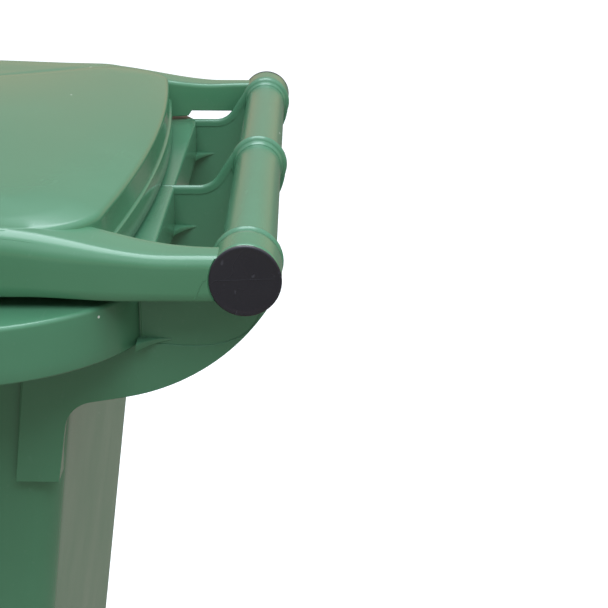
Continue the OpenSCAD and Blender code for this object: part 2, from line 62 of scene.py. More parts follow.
def place(points):  # millimetres from the middle of the handle to metres in the frame
    return np.asarray(points, float) / 1000 + np.array(hinge)


def fromHinge(value, axis):  # metres in the frame to millimetres from the handle, along one axis
    return (value - hinge[axis]) * 1000


# curves

def arc(centre, radius, start, end, count):  # centre + radius * (cos a, sin a), degrees
    a = np.radians(np.linspace(start, end, count))
    return np.stack([centre[0] + radius * np.cos(a), centre[1] + radius * np.sin(a)], 1)


def line(a, b, count):  # evenly spaced, both ends left out
    t = np.linspace(0, 1, count + 2)[1:-1, None]
    return np.asarray(a) * (1 - t) + np.asarray(b) * t


def bezier(a, b, c, d, count):  # cubic: the four points weighted by (1-t)^3, 3t(1-t)^2, 3t^2(1-t), t^3
    t = np.linspace(0, 1, count)[:, None]
    a, b, c, d = (np.asarray(p, float) for p in (a, b, c, d))
    return a * (1 - t) ** 3 + 3 * b * t * (1 - t) ** 2 + 3 * c * t ** 2 * (1 - t) + d * t ** 3


def roundCorners(points, radii, count=6):  # each corner becomes an arc that touches both its sides
    points = np.asarray(points, float)
    out = []
    for i, (p, r) in enumerate(zip(points, radii)):
        if r <= 0:
            out.append(p[None])
            continue
        u = points[i - 1] - p
        v = points[(i + 1) % len(points)] - p
        u, v = u / np.linalg.norm(u), v / np.linalg.norm(v)
        half = math.acos(np.clip(u @ v, -1, 1)) / 2
        c = p + (u + v) / np.linalg.norm(u + v) * r / math.sin(half)
        s, e = p + u * r / math.tan(half) - c, p + v * r / math.tan(half) - c
        a0, a1 = math.atan2(s[1], s[0]), math.atan2(e[1], e[0])
        turn = (a1 - a0 + math.pi) % (2 * math.pi) - math.pi
        a = a0 + turn * np.linspace(0, 1, count)
        out.append(np.stack([c[0] + r * np.cos(a), c[1] + r * np.sin(a)], 1))
    return np.vstack(out)


def smoothStep(t):  # 3t^2 - 2t^3, held to 0..1
    t = np.clip(t, 0, 1)
    return t * t * (3 - 2 * t)


def mirrorRing(half):  # a half outline from the front middle to the rear middle, closed by its mirror image
    other = half[-2:0:-1] * np.array([-1, 1])
    return np.vstack([half, other])


# meshes

def buildMesh(name, points, faces, sharp=32):
    mesh = bpy.data.meshes.new(name)
    mesh.from_pydata(np.asarray(points).tolist(), [], faces)
    bm = bmesh.new()
    bm.from_mesh(mesh)
    bmesh.ops.remove_doubles(bm, verts=bm.verts, dist=1e-6)
    bmesh.ops.recalc_face_normals(bm, faces=bm.faces)
    bm.to_mesh(mesh)
    bm.free()
    mesh.polygons.foreach_set("use_smooth", [True] * len(mesh.polygons))
    mesh.set_sharp_from_angle(angle=math.radians(sharp))
    obj = bpy.data.objects.new(name, mesh)
    scene.collection.objects.link(obj)
    return obj


def gridFaces(rows, columns, closed=False):
    # quads between neighbouring rows and columns; columns wrap round, and so do rows when closed
    here = np.arange(rows * columns).reshape(rows, columns)
    beside = np.roll(here, -1, axis=1)
    if closed:
        quads = np.stack([here, beside, np.roll(beside, -1, axis=0), np.roll(here, -1, axis=0)], -1)
    else:
        quads = np.stack([here[:-1], beside[:-1], beside[1:], here[1:]], -1)
    return quads.reshape(-1, 4).tolist()


def loft(name, rings, ends="pole", sharp=32):
    # rings[v, u] in millimetres from the handle: quads join neighbours, and each end ring closes on a
    # middle point (pole), as one flat face (flat), or on the other end (loop)
    rings = np.asarray(rings, float)
    rows, columns = rings.shape[:2]
    points = place(rings.reshape(-1, 3))
    faces = gridFaces(rows, columns, closed=ends == "loop")
    first, last = list(range(columns)), list(range((rows - 1) * columns, rows * columns))
    if ends == "pole":
        points = np.vstack([points, place(rings[0].mean(0))[None], place(rings[-1].mean(0))[None]])
        n = rows * columns
        faces += [[n, b, a] for a, b in zip(first, first[1:] + first[:1])]
        faces += [[n + 1, a, b] for a, b in zip(last, last[1:] + last[:1])]
    elif ends == "flat":
        faces += [first[::-1], last]
    return buildMesh(name, points, faces, sharp)


def lathe(name, profile, centre, count=96, ends="pole", sharp=32):
    # profile of (along X, radius) turned about the X direction through centre: y = r cos a, z = r sin a
    profile = np.asarray(profile, float)
    a = np.linspace(0, 2 * np.pi, count, endpoint=False)
    x, r = profile[:, :1], profile[:, 1:]
    rings = np.stack([np.broadcast_to(x, (len(profile), count)), r * np.cos(a), r * np.sin(a)], -1)
    return loft(name, rings + np.asarray(centre, float), ends, sharp)


def latheUp(name, profile, centre, count=48):
    # profile of (height, radius) turned about an upright line: x = r cos a, y = r sin a, closed on itself
    profile = np.asarray(profile, float)
    a = np.linspace(0, 2 * np.pi, count, endpoint=False)
    z, r = profile[:, :1], profile[:, 1:]
    height = np.broadcast_to(z, (len(profile), count))
    rings = np.stack([centre[0] + r * np.cos(a), centre[1] + r * np.sin(a), height], -1)
    return loft(name, rings, "loop")


def plate(name, outline, low, high, bevel=0.6, segments=3):
    # an outline in the Y-Z plane, carried from x = low to x = high, its edges rounded by a bevel
    outline = np.asarray(outline, float)
    rings = np.stack([np.column_stack([np.full(len(outline), x), outline]) for x in (low, high)])
    obj = loft(name, rings, "flat")
    if bevel:
        mod = obj.modifiers.new("edges", "BEVEL")
        mod.width, mod.segments, mod.limit_method = bevel / 1000, segments, "ANGLE"
        mod.angle_limit = math.radians(40)
    return obj


def finishPiece(obj, body, material, slot, *nodes):
    obj.data.materials.clear()
    obj.data.materials.append(material)
    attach(obj, body)
    if nodes:
        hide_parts(*nodes)
    return obj


# materials

def newGroup(name, inputs, outputs):
    tree = bpy.data.node_groups.new(name, "ShaderNodeTree")
    for label, value in inputs.items():
        tree.interface.new_socket(label, in_out="INPUT", socket_type="NodeSocketFloat").default_value = value
    for label in outputs:
        tree.interface.new_socket(label, in_out="OUTPUT", socket_type="NodeSocketFloat")
    return tree, tree.nodes.new("NodeGroupInput"), tree.nodes.new("NodeGroupOutput")


def addNode(tree, kind, **values):
    node = tree.nodes.new(kind)
    for key, value in values.items():
        if key in node.inputs:
            node.inputs[key].default_value = value
        else:
            setattr(node, key, value)
    return node


def mapRange(tree, source, low, high, toLow=0.0, toHigh=1.0):
    node = addNode(tree, "ShaderNodeMapRange")
    for i, value in enumerate((low, high, toLow, toHigh), 1):
        node.inputs[i].default_value = value
    tree.links.new(source, node.inputs[0])
    return node.outputs[0]


def grainGroup():  # a fine moulded grain over slow waves in the wall, as one height
    inputs = {"Grain Scale": 900.0, "Wave Scale": 9.0, "Wave Share": 0.6}
    tree, given, result = newGroup("mouldedGrain", inputs, ["Height"])
    coord = addNode(tree, "ShaderNodeTexCoord")
    grain = addNode(tree, "ShaderNodeTexNoise", Detail=3.0, Roughness=0.6)
    wave = addNode(tree, "ShaderNodeTexNoise", Detail=1.0, Roughness=0.4)
    mix = addNode(tree, "ShaderNodeMath", operation="MULTIPLY_ADD")
    for node, label in ((grain, "Grain Scale"), (wave, "Wave Scale")):
        tree.links.new(coord.outputs["Object"], node.inputs["Vector"])
        tree.links.new(given.outputs[label], node.inputs["Scale"])
    tree.links.new(wave.outputs["Fac"], mix.inputs[0])
    tree.links.new(given.outputs["Wave Share"], mix.inputs[1])
    tree.links.new(grain.outputs["Fac"], mix.inputs[2])
    tree.links.new(mix.outputs[0], result.inputs["Height"])
    return tree


def dustGroup():  # scattered specks: small discs in some cells of a Voronoi pattern
    tree, given, result = newGroup("dustSpecks", {"Scale": 60.0, "Size": 0.03, "Share": 0.2}, ["Mask"])
    coord = addNode(tree, "ShaderNodeTexCoord")
    cells = addNode(tree, "ShaderNodeTexVoronoi")
    colour = addNode(tree, "ShaderNodeSeparateColor")
    near = addNode(tree, "ShaderNodeMath", operation="LESS_THAN")
    some = addNode(tree, "ShaderNodeMath", operation="LESS_THAN")
    size = addNode(tree, "ShaderNodeMath", operation="MULTIPLY")
    both = addNode(tree, "ShaderNodeMath", operation="MULTIPLY")
    tree.links.new(coord.outputs["Object"], cells.inputs["Vector"])
    tree.links.new(given.outputs["Scale"], cells.inputs["Scale"])
    tree.links.new(cells.outputs["Color"], colour.inputs[0])
    tree.links.new(colour.outputs[1], size.inputs[0])
    tree.links.new(given.outputs["Size"], size.inputs[1])
    tree.links.new(cells.outputs["Distance"], near.inputs[0])
    tree.links.new(size.outputs[0], near.inputs[1])
    tree.links.new(colour.outputs[0], some.inputs[0])
    tree.links.new(given.outputs["Share"], some.inputs[1])
    tree.links.new(near.outputs[0], both.inputs[0])
    tree.links.new(some.outputs[0], both.inputs[1])
    tree.links.new(both.outputs[0], result.inputs["Mask"])
    return tree


def scuffGroup():  # soft patches, and fine stretched scratches
    inputs = {"Patch Scale": 5.0, "Scratch Scale": 40.0}
    tree, given, result = newGroup("softScuffs", inputs, ["Patches", "Scratches"])
    coord = addNode(tree, "ShaderNodeTexCoord")
    patches = addNode(tree, "ShaderNodeTexNoise", Detail=4.0, Roughness=0.6)
    stretch = addNode(tree, "ShaderNodeMapping")
    stretch.inputs["Rotation"].default_value = (0.3, 0.2, 0.5)
    stretch.inputs["Scale"].default_value = (1.0, 9.0, 7.0)
    scratches = addNode(tree, "ShaderNodeTexNoise", Detail=2.0, Roughness=0.5)
    tree.links.new(coord.outputs["Object"], patches.inputs["Vector"])
    tree.links.new(given.outputs["Patch Scale"], patches.inputs["Scale"])
    tree.links.new(coord.outputs["Object"], stretch.inputs["Vector"])
    tree.links.new(stretch.outputs[0], scratches.inputs["Vector"])
    tree.links.new(given.outputs["Scratch Scale"], scratches.inputs["Scale"])
    tree.links.new(mapRange(tree, patches.outputs["Fac"], 0.42, 0.7), result.inputs["Patches"])
    tree.links.new(mapRange(tree, scratches.outputs["Fac"], 0.66, 0.72), result.inputs["Scratches"])
    return tree


groups = {"grain": grainGroup(), "dust": dustGroup(), "scuff": scuffGroup()}


def useGroup(tree, name, values):
    node = tree.nodes.new("ShaderNodeGroup")
    node.node_tree = groups[name]
    for label, value in values.items():
        node.inputs[label].default_value = value
    return node


def mixColour(tree, factor, a, b):
    node = addNode(tree, "ShaderNodeMix", data_type="RGBA")
    for socket, value in ((node.inputs[6], a), (node.inputs[7], b)):
        if isinstance(value, tuple):
            socket.default_value = (*value, 1)
        else:
            tree.links.new(value, socket)
    tree.links.new(factor, node.inputs[0])
    return node.outputs[2]


def mouldedPlastic(name, look):
    # a base colour that drifts in soft patches, paler scratches and dust specks, roughness that follows the
    # patches, and a grain bump
    material = bpy.data.materials.new(name)
    material.use_nodes = True
    tree = material.node_tree
    shader = tree.nodes["Principled BSDF"]
    shader.inputs["IOR"].default_value = look["ior"]
    scuff = useGroup(tree, "scuff", {"Patch Scale": look["patchScale"],
                                     "Scratch Scale": look["scratchScale"]})
    dust = useGroup(tree, "dust", {"Scale": look["dustScale"], "Size": look["dustSize"],
                                   "Share": look["dustShare"]})
    grain = useGroup(tree, "grain", {"Grain Scale": look["grainScale"], "Wave Scale": look["waveScale"],
                                     "Wave Share": look["waveShare"]})
    patches = scuff.outputs["Patches"]
    colour = mixColour(tree, patches, look["colour"], look["drift"])
    worn = mapRange(tree, scuff.outputs["Scratches"], 0, 1, 0, look["scratchMix"])
    colour = mixColour(tree, worn, colour, look["scratchColour"])
    dusty = mapRange(tree, dust.outputs["Mask"], 0, 1, 0, look["dustMix"])
    colour = mixColour(tree, dusty, colour, look["dustColour"])
    tree.links.new(colour, shader.inputs["Base Color"])
    tree.links.new(mapRange(tree, patches, 0, 1, *look["roughness"]), shader.inputs["Roughness"])
    bump = addNode(tree, "ShaderNodeBump", Strength=look["bump"], Distance=look["bumpDepth"])
    tree.links.new(grain.outputs["Height"], bump.inputs["Height"])
    tree.links.new(bump.outputs[0], shader.inputs["Normal"])
    return material


def varied(base, **changes):
    return {**base, **changes}


binLook = dict(
    colour=(0.058, 0.172, 0.094), drift=(0.065, 0.186, 0.104), roughness=(0.20, 0.27), ior=1.52,
    patchScale=6.0, scratchScale=30.0, scratchMix=0.04, scratchColour=(0.20, 0.32, 0.24),
    dustScale=60.0, dustSize=0.07, dustShare=0.13, dustMix=0.9, dustColour=(0.62, 0.64, 0.58),
    grainScale=700.0, waveScale=7.0, waveShare=2.5, bump=0.05, bumpDepth=0.0006)
lidLook = varied(
    binLook, colour=(0.056, 0.170, 0.088), drift=(0.063, 0.182, 0.097), roughness=(0.19, 0.25),
    dustShare=0.16)
blackLook = varied(
    binLook, colour=(0.012, 0.011, 0.016), drift=(0.016, 0.015, 0.022), roughness=(0.20, 0.34),
    scratchColour=(0.10, 0.10, 0.12), scratchMix=0.25, dustScale=210.0, dustSize=0.10, dustShare=0.10,
    dustMix=0.45, dustColour=(0.16, 0.15, 0.16), grainScale=1500.0, bump=0.08)
wheelLook = varied(
    blackLook, colour=(0.022, 0.022, 0.023), drift=(0.034, 0.033, 0.032), roughness=(0.38, 0.55),
    dustScale=90.0)
tyreLook = varied(
    wheelLook, colour=(0.018, 0.018, 0.018), drift=(0.050, 0.046, 0.040), roughness=(0.62, 0.85), ior=1.45,
    patchScale=14.0, dustScale=120.0, dustShare=0.3, grainScale=500.0, bump=0.35)
latchLook = varied(binLook, colour=(0.55, 0.50, 0.38), drift=(0.50, 0.45, 0.33), dustShare=0.0)

materials = {
    "body_green": mouldedPlastic("bodyGreen", binLook),
    "lid_green": mouldedPlastic("lidGreen", lidLook),
    "pin_black": mouldedPlastic("capBlack", blackLook),
    "wheel_black": mouldedPlastic("wheelBlack", wheelLook),
    "tyre_rubber": mouldedPlastic("tyreRubber", tyreLook),
    "buffer_rubber": mouldedPlastic("bufferRubber", varied(tyreLook, dustShare=0.0)),
    "latch_plastic": mouldedPlastic("latchPlastic", latchLook),
}


def brushedSteel(name, colour, rough):  # fine rings of roughness along X over a metal
    material = bpy.data.materials.new(name)
    material.use_nodes = True
    tree = material.node_tree
    shader = tree.nodes["Principled BSDF"]
    shader.inputs["Metallic"].default_value = 1.0
    coord = addNode(tree, "ShaderNodeTexCoord")
    stretch = addNode(tree, "ShaderNodeMapping")
    stretch.inputs["Scale"].default_value = (1.0, 0.05, 0.05)
    lines = addNode(tree, "ShaderNodeTexNoise", Scale=900.0, Detail=2.0)
    blotch = useGroup(tree, "scuff", {"Patch Scale": 30.0, "Scratch Scale": 90.0})
    tree.links.new(coord.outputs["Object"], stretch.inputs["Vector"])
    tree.links.new(stretch.outputs[0], lines.inputs["Vector"])
    roughness = mapRange(tree, lines.outputs["Fac"], 0.3, 0.7, rough - 0.08, rough + 0.1)
    tree.links.new(roughness, shader.inputs["Roughness"])
    darker = tuple(value * 0.8 for value in colour)
    tree.links.new(mixColour(tree, blotch.outputs["Patches"], colour, darker), shader.inputs["Base Color"])
    bump = addNode(tree, "ShaderNodeBump", Strength=0.1, Distance=0.0003)
    tree.links.new(lines.outputs["Fac"], bump.inputs["Height"])
    tree.links.new(bump.outputs[0], shader.inputs["Normal"])
    return material


materials["axle_steel"] = brushedSteel("axleSteel", (0.46, 0.46, 0.47), 0.36)
materials["spring_steel"] = brushedSteel("springSteel", (0.5, 0.5, 0.5), 0.3)
print("materials made")

# bin body

tub = dict(
    wall=4.5, frontReach=42, rearReach=34, frontLean=2.5, rearLean=7.0,
    halfTop=247, halfFloor=218, heelTop=218, heelFloor=193, frontRadius=60, heelRadius=18, stepRadius=12,
    stepFloor=-267, stepRun=34, floorHeight=22, floorThick=6, floorRadius=20, mouth=2.5)
rim = dict(
    drop=15, setback=56, thick=4, skirt=30, combSkirt=52, edge=2.4, lip=1.2,
    frontRadius=78, rearRadius=106, arcCut=6, under=3)
# how many points each part of the body's outline has, the same on the tub and on the rim
tally = dict(front=26, corner=14, side=22, step=7, heel=10, heelCorner=9, rear=18)

rimHalf = bodyHigh.x * 1000
rimFront = fromHinge(bodyLow.y, 1)
rimTop = -rim["drop"]
ground = fromHinge(bodyLow.z, 2)
floorZ = ground + tub["floorHeight"]


def halfTub(z, inset):
    # front straight, front corner, side, the step in to the heel (one outward and one inward arc), heel side,
    # heel corner, rear straight; widths and the step's place change evenly with height
    t = (z - floorZ) / (rimTop - floorZ)
    x = tub["halfFloor"] + (tub["halfTop"] - tub["halfFloor"]) * t - inset
    h = tub["heelFloor"] + (tub["heelTop"] - tub["heelFloor"]) * t - inset
    f = rimFront + tub["frontReach"] + (rimTop - z) * math.tan(math.radians(tub["frontLean"])) + inset
    b = -rim["setback"] - tub["rearReach"] - (rimTop - z) * math.tan(math.radians(tub["rearLean"])) - inset
    s = tub["stepFloor"] + tub["stepRun"] * t - inset
    rf, rs = max(tub["frontRadius"] - inset, 2), max(tub["stepRadius"] - inset, 1)
    rg = max(tub["heelRadius"] - inset, 2)
    ri = x - h - rs if inset < tub["stepRadius"] else 2
    ri = min(ri, tub["stepRadius"] + inset)
    return np.vstack([
        [[0, f]], line((0, f), (x - rf, f), tally["front"]),
        arc((x - rf, f + rf), rf, -90, 0, tally["corner"]),
        line((x, f + rf), (x, s - rs), tally["side"]), arc((x - rs, s - rs), rs, 0, 90, tally["step"]),
        line((x - rs, s), (h + ri, s), 1), arc((h + ri, s + ri), ri, -90, -180, tally["step"]),
        line((h, s + ri), (h, b - rg), tally["heel"]), arc((h - rg, b - rg), rg, 0, 90, tally["heelCorner"]),
        line((h - rg, b), (0, b), tally["rear"]), [[0, b]]])


def halfRim(inset):
    # as many points as halfTub, on the rim's edge: the step's points run along the straight side
    x, f, b = rimHalf - inset, rimFront + inset, -rim["setback"] - inset
    rf, rr = rim["frontRadius"] - inset, rim["rearRadius"] - inset
    rise = rim["rearRadius"] - rim["arcCut"] - inset
    start = math.degrees(math.asin(rise / rr))
    c = b - rise
    middle = tub["stepFloor"] + tub["stepRun"]
    s0, s1 = middle - tub["stepRadius"], middle + tub["stepRadius"]
    end = x - rr + rr * math.cos(math.radians(start))
    return np.vstack([
        [[0, f]], line((0, f), (x - rf, f), tally["front"]),
        arc((x - rf, f + rf), rf, -90, 0, tally["corner"]),
        line((x, f + rf), (x, s0), tally["side"]), line((x, s0), (x, s1), 2 * tally["step"] + 1),
        line((x, s1), (x, c), tally["heel"] - 2), arc((x - rr, c), rr, 0, start, tally["rear"] + 1),
        line((end, b), (0, b), tally["heelCorner"] + 1), [[0, b]]])


def withHeight(half, z):
    ring = mirrorRing(half)
    return np.column_stack([ring, np.broadcast_to(z, len(ring))])


def shrunk(ring, share, z):  # a ring drawn in towards its middle
    middle = ring[:, :2].mean(0)
    return np.column_stack([middle + (ring[:, :2] - middle) * share, np.full(len(ring), z)])


def skirtBottom(half):  # deeper across the front, where the comb grips, sloping up at the front corners
    ring = mirrorRing(half)
    drop = rim["combSkirt"] - rim["skirt"]
    front = ring[:, 1] < rimFront + 8
    slope = np.clip((rimHalf - rim["frontRadius"] - np.abs(ring[:, 0])) / drop, 0, 1)
    return rimTop - rim["skirt"] - np.where(front, drop * slope, 0)


def binShell():
    # one closed skin: from the inner floor up inside the tub, out over the rim, down its skirt, back under
    # it, down outside the tub and in under the floor; every rounded edge goes r (1 - cos a) in and
    # r (1 - sin a) down
    rings = []
    inner, wall, r, mouth = floorZ + tub["floorThick"], tub["wall"], tub["floorRadius"], tub["mouth"]
    base = withHeight(halfTub(inner, wall + r), inner)
    rings += [shrunk(base, share, inner) for share in (0.02, 0.3, 0.6, 0.9)]
    for a in np.radians(np.linspace(90, 0, 7)):
        z = inner + r * (1 - math.sin(a))
        rings.append(withHeight(halfTub(z, wall + r * (1 - math.cos(a))), z))
    for z in np.linspace(inner + r, rimTop - 3, 14)[1:]:
        rings.append(withHeight(halfTub(z, wall), z))
    for a in np.radians((30, 60, 90)):
        half = halfTub(rimTop, wall - mouth * (1 - math.cos(a)))
        rings.append(withHeight(half, rimTop - mouth * (1 - math.sin(a))))
    edge = rim["edge"]
    inside, outside = halfTub(rimTop, wall - mouth), halfRim(edge)
    for share in (0.1, 0.3, 0.5, 0.7, 0.9):
        rings.append(withHeight(inside * (1 - share) + outside * share, rimTop))
    for a in np.radians(np.linspace(90, 0, 8)):
        rings.append(withHeight(halfRim(edge * (1 - math.cos(a))), rimTop - edge * (1 - math.sin(a))))
    bottom, top = skirtBottom(halfRim(0)), rimTop - edge
    lip, thick, under = rim["lip"], rim["thick"], rimTop - rim["thick"]
    for share in (0.25, 0.5, 0.75, 1):
        rings.append(withHeight(halfRim(0), top + (bottom + lip - top) * share))
    for a in np.radians((30, 60, 90)):
        rings.append(withHeight(halfRim(lip * (1 - math.cos(a))), bottom + lip * (1 - math.sin(a))))
    for a in np.radians((90, 45, 0)):
        rings.append(withHeight(halfRim(thick - lip * (1 - math.cos(a))), bottom + lip * (1 - math.sin(a))))
    fillet = rim["under"]
    for share in (0.5, 1):
        rings.append(withHeight(halfRim(thick), bottom + lip + (under - fillet - bottom - lip) * share))
    rings.append(withHeight(halfRim(thick + 1), under - 0.9))
    inside, outside = halfTub(under, -fillet), halfRim(thick + fillet)
    rings += [withHeight(outside * (1 - share) + inside * share, under) for share in (0, 0.3, 0.6, 1)]
    for a in np.radians((60, 30, 0)):
        half = halfTub(under - fillet, -fillet * (1 - math.cos(a)))
        rings.append(withHeight(half, under - fillet * (1 - math.sin(a))))
    for z in np.linspace(under - fillet, floorZ + r, 22)[1:]:
        rings.append(withHeight(halfTub(z, 0), z))
    for a in np.radians(np.linspace(15, 90, 6)):
        z = floorZ + r * (1 - math.sin(a))
        rings.append(withHeight(halfTub(z, r * (1 - math.cos(a))), z))
    base = rings[-1]
    rings += [shrunk(base, share, floorZ) for share in (0.9, 0.6, 0.3, 0.02)]
    return loft("binShell", rings)


finishPiece(binShell(), "bin", materials["body_green"], "body_green", "bin_body")
print("body shell made")

# handle: tube, rings, gussets

handle = dict(
    tube=15, ring=19, ringHalf=3.7, collar=16.3, collarWide=5, gusset=220, plate=5, bead=5.8,
    bow=(-84.8, 36.0, 113.5), leg=-126.2, beadFrom=-64, beadCorner=-30.5, beadRise=56.4, beadBend=18,
    beadTouch=16, webTip=-40.5, webOut=13, webIn=19)


def beadPath():  # level on the rim, an arc up, then straight to touch a circle about the handle's axis
    rise, bend, touch = math.radians(handle["beadRise"]), handle["beadBend"], handle["beadTouch"]
    corner = np.array([handle["beadCorner"], rimTop - 2.5])
    up = np.array([math.cos(rise), math.sin(rise)])
    reach = bend * math.tan(rise / 2)
    start = corner - [reach, 0]
    meet = touch * np.array([-math.sin(rise), math.cos(rise)])
    turn = arc((start[0], start[1] + bend), bend, -90, -90 + handle["beadRise"], 14)
    level = line((handle["beadFrom"], corner[1]), start, 5)
    climb = line(corner + up * reach, meet, 8)
    over = arc((0, 0), touch, 90 + handle["beadRise"], 60, 16)
    return np.vstack([[[handle["beadFrom"], corner[1]]], level, turn, climb, over])


def beadSweep(name, x):
    # a strip with half a rounded oval on top, 2.8 sin(a)^0.8, carried along the bead's path; across is X and
    # up is the path's normal
    path = beadPath()
    way = np.gradient(path, axis=0)
    way /= np.linalg.norm(way, axis=1, keepdims=True)
    up = np.stack([-way[:, 1], way[:, 0]], 1)
    a = np.radians(np.linspace(0, 180, 13))
    half = handle["bead"] / 2
    across = np.concatenate([half * np.cos(a), [-half, half]])
    over = np.concatenate([2.8 * np.sin(a) ** 0.8, [-2.5, -2.5]])
    rings = np.empty((len(path), len(across), 3))
    rings[..., 0] = x + across
    rings[..., 1:] = path[:, None] + up[:, None] * over[None, :, None]
    return loft(name, rings, "flat")


def ringBead(name, x):
    # the ring round the tube: a round-topped bead with a low collar each side that fades into the tube
    r, h, c, w, t = handle["ring"], handle["ringHalf"], handle["collar"], handle["collarWide"], handle["tube"]
    a = np.radians(np.linspace(0, 180, 15))
    crest = np.column_stack([x + h * np.cos(a), r - h + h * np.sin(a)])
    right = [[x + h + w, t - 0.4], [x + h + w, t + 0.25], [x + h + w - 1.2, c - 0.35],
             [x + h + 1.2, c], [x + h, c + 0.3]]
    left = [[2 * x - p[0], p[1]] for p in right[::-1]]
    return lathe(name, np.vstack([right, crest, left]), (0, 0, 0), 128, "loop", 50)


def gussetOutline(leg):
    # under the rim, the ring's back, a bow, and either a fillet down to the leg or a run to the rear wall
    y, z, r = handle["bow"]
    ends = [math.degrees(math.acos((10.7 - y) / r)), math.degrees(math.acos((-68 - y) / r))]
    bow = arc((y, z), r, -ends[0], -ends[1], 22)
    nose = bezier((18.2, 3), (18.8, -9), (15.5, -17.5), bow[0], 10)[:-1]
    top = [[-118, rimTop - 2], [-64, rimTop - 2], [-36, rimTop - 2], [-24, -9], [-13, 8], [0, 12]]
    if not leg:
        return np.vstack([top, nose, bow, [[-84, -79], [-118, -80]]])
    low = handle["leg"]
    corners = [(-66, -76.3), (-97.2, -80.8), (-104, low), (-127.8, low + 0.2), (-119, -40)]
    fillet = roundCorners(corners, [0, 17, 1, 1, 0], 9)[1:]
    return np.vstack([top, nose, bow, fillet])


def stepLine():  # where the gusset's face steps in, from the rim's skirt to the ring
    forward = bezier((-47.6, -44.9), (-30, -46.4), (-18, -47.8), (-4.2, -41), 12)
    upward = bezier((-4.2, -41), (2, -37.4), (7.5, -30), (9.5, -16), 10)[1:]
    return np.vstack([[[-118, -44]], [[-58, -44.3]], forward, upward])


def gusset(side, leg):
    x, t = side * handle["gusset"], handle["plate"] / 2
    name = {1: "Right", 0: "Middle", -1: "Left"}[side]
    outline = gussetOutline(leg)
    low, high = (x - t + 0.1 + 0.4 * (side < 0), x + t - 0.1 - 0.4 * (side > 0))
    out = [plate(f"gusset{name}", outline, low, high, 0.5)]
    if leg:
        lower = outline[np.argmin(np.abs(outline[:, 0] - 13) + (outline[:, 1] > -10) * 99):]
        band = np.vstack([stepLine(), lower[:-1]])
        face = sorted((x + side * (t - 1.5), x + side * (t + 0.1)))
        out.append(plate(f"gussetBand{name}", band, *face, 0.5))
        out.append(skirtSeam(f"skirtSeam{name}", x + side * (t - 0.6), side))
        low = handle["leg"]
        pad = [[-99.5, -62], [-104, low], [-127.8, low + 0.2], [-121, -62]]
        sides = sorted((x - side * 14, x + side * (t - 0.25)))
        out.append(plate(f"gussetPad{name}", pad, *sides, 0.6))
    out.append(beadSweep(f"gussetBead{name}", x))
    out.append(ringBead(f"handleRing{name}", x))
    for face, end in ((-1, "Low"), (1, "High")):
        root = handle["webOut"] if face == side else handle["webIn"]
        out.append(lipWeb(f"lipWeb{name}{end}", x + face * t * 0.9, face, root))
    return out


def skirtSeam(name, x, side):
    # the thin upright fillet where the rear skirt meets a gusset's face: a quarter of a hollow round
    z = np.linspace(rimTop - 5, rimTop - rim["skirt"] + 3, 8)
    a = np.radians(np.linspace(180, 270, 6))
    r = 1.1
    hollow = np.stack([r + r * np.cos(a), r + r * np.sin(a)], 1)
    section = np.vstack([[[-0.4, -0.4]], [[r, -0.4]], hollow[::-1], [[-0.4, r]]])
    flat = np.column_stack([x + side * section[:, 0], -rim["setback"] - 0.2 + section[:, 1]])
    rings = np.stack([np.column_stack([flat, np.full(len(flat), height)]) for height in z])
    return loft(name, rings, "flat", 60)


def lipWeb(name, x, face, root):
    # a thin blade between the rear skirt's lower edge and a gusset, root (1 - s)^2.1 wide and thinner
    # towards its tip
    tip, back = handle["webTip"], -rim["setback"] - 2
    s = np.linspace(0, 1, 14)[:, None]
    wide = root * (1 - s) ** 2.1 + 0.15
    thick = 1.7 * (1 - s) + 0.6
    a = np.radians(np.linspace(-90, 90, 7))
    rooted = -0.5 * np.ones_like(s)
    across = np.hstack([rooted, wide + thick * 0.5 * (np.cos(a) - 1), rooted])
    height = np.hstack([-thick, thick * np.sin(a), thick]) + rimTop - rim["skirt"] + 1.6 + 0.6 * s
    y = back + (tip - back) * s
    rings = np.stack([x + face * across, np.broadcast_to(y, across.shape), height], -1)
    return loft(name, rings, "flat", 60)


tube = [[-217, 12], [-217, 15], *[[x, 15] for x in np.linspace(-180, 180, 9)], [217, 15], [217, 12]]
handlePieces = [lathe("handleTube", tube, (0, 0, 0), 128, "loop")]
for side, leg in ((-1, True), (0, False), (1, True)):
    handlePieces += gusset(side, leg)
for obj in handlePieces:
    finishPiece(obj, "bin", materials["body_green"], "body_green")
print("handle made")

# underside: ribs, brackets, feet, chip seat

axleY, axleZ = fromHinge(wheelAt[1], 1), fromHinge(wheelAt[2], 2)


def rearWall(z):
    return -rim["setback"] - tub["rearReach"] - (rimTop - z) * math.tan(math.radians(tub["rearLean"]))


under = dict(
    brackets=(-189, -66, 66, 189), bracketHalf=4, bossOut=18, bossBore=10.1, bossHalf=6,
    footAt=(112, 192), footLong=26, footMiddle=130, footHalf=45,
    ribFrom=246, ribTo=287.5, ribThick=3, seatAt=23)


